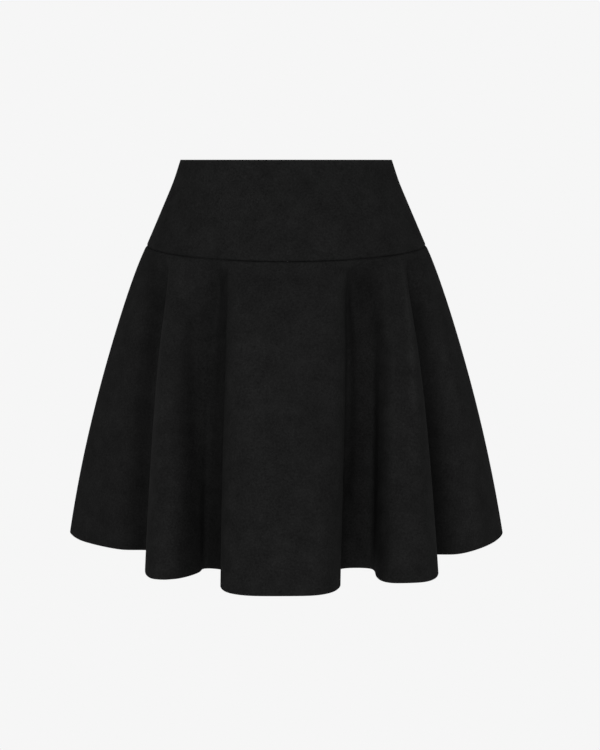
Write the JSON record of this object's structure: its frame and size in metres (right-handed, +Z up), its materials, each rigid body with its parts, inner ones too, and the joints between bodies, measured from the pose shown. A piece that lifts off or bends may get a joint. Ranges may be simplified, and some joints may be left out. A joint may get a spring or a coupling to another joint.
{
  "type": "skater skirt",
  "caption": "Black high-waisted skater skirt, filled out as worn: a fitted hip yoke and a flared skirt in soft folds, with a concealed zip at the centre back.",
  "frame": {"origin": "middle of the waist opening, level with the top edge, where the wearer's waist holds the skirt", "axes": "+Z up out of the waist, the front faces -Y, +X to the right as seen from the front, which is the wearer's left"},
  "size_m": [0.5344, 0.4967, 0.4574],
  "materials": {
    "cloth": "matte, finely felted, thick black jersey",
    "tape": "matte woven black zip tape",
    "zip_metal": "satin black enamel"
  },
  "bodies": {
    "skirt": {"yoke_front": "cloth", "yoke_back_left": "cloth", "yoke_back_right": "cloth", "skirt_front": "cloth", "skirt_back_left": "cloth", "skirt_back_right": "cloth", "zip_tape_left": "tape", "zip_tape_right": "tape", "zip_slider": "zip_metal"},
    "zip_pull": {"zip_pull_tab": "zip_metal"}
  },
  "joints": [
    {"name": "zip_pull_hinge", "type": "hinge", "parent": "skirt", "child": "zip_pull", "pos_m": [0, 0.1007, -0.00756], "axis": [1, 0, 0], "range_deg": [0, 150]}
  ]
}
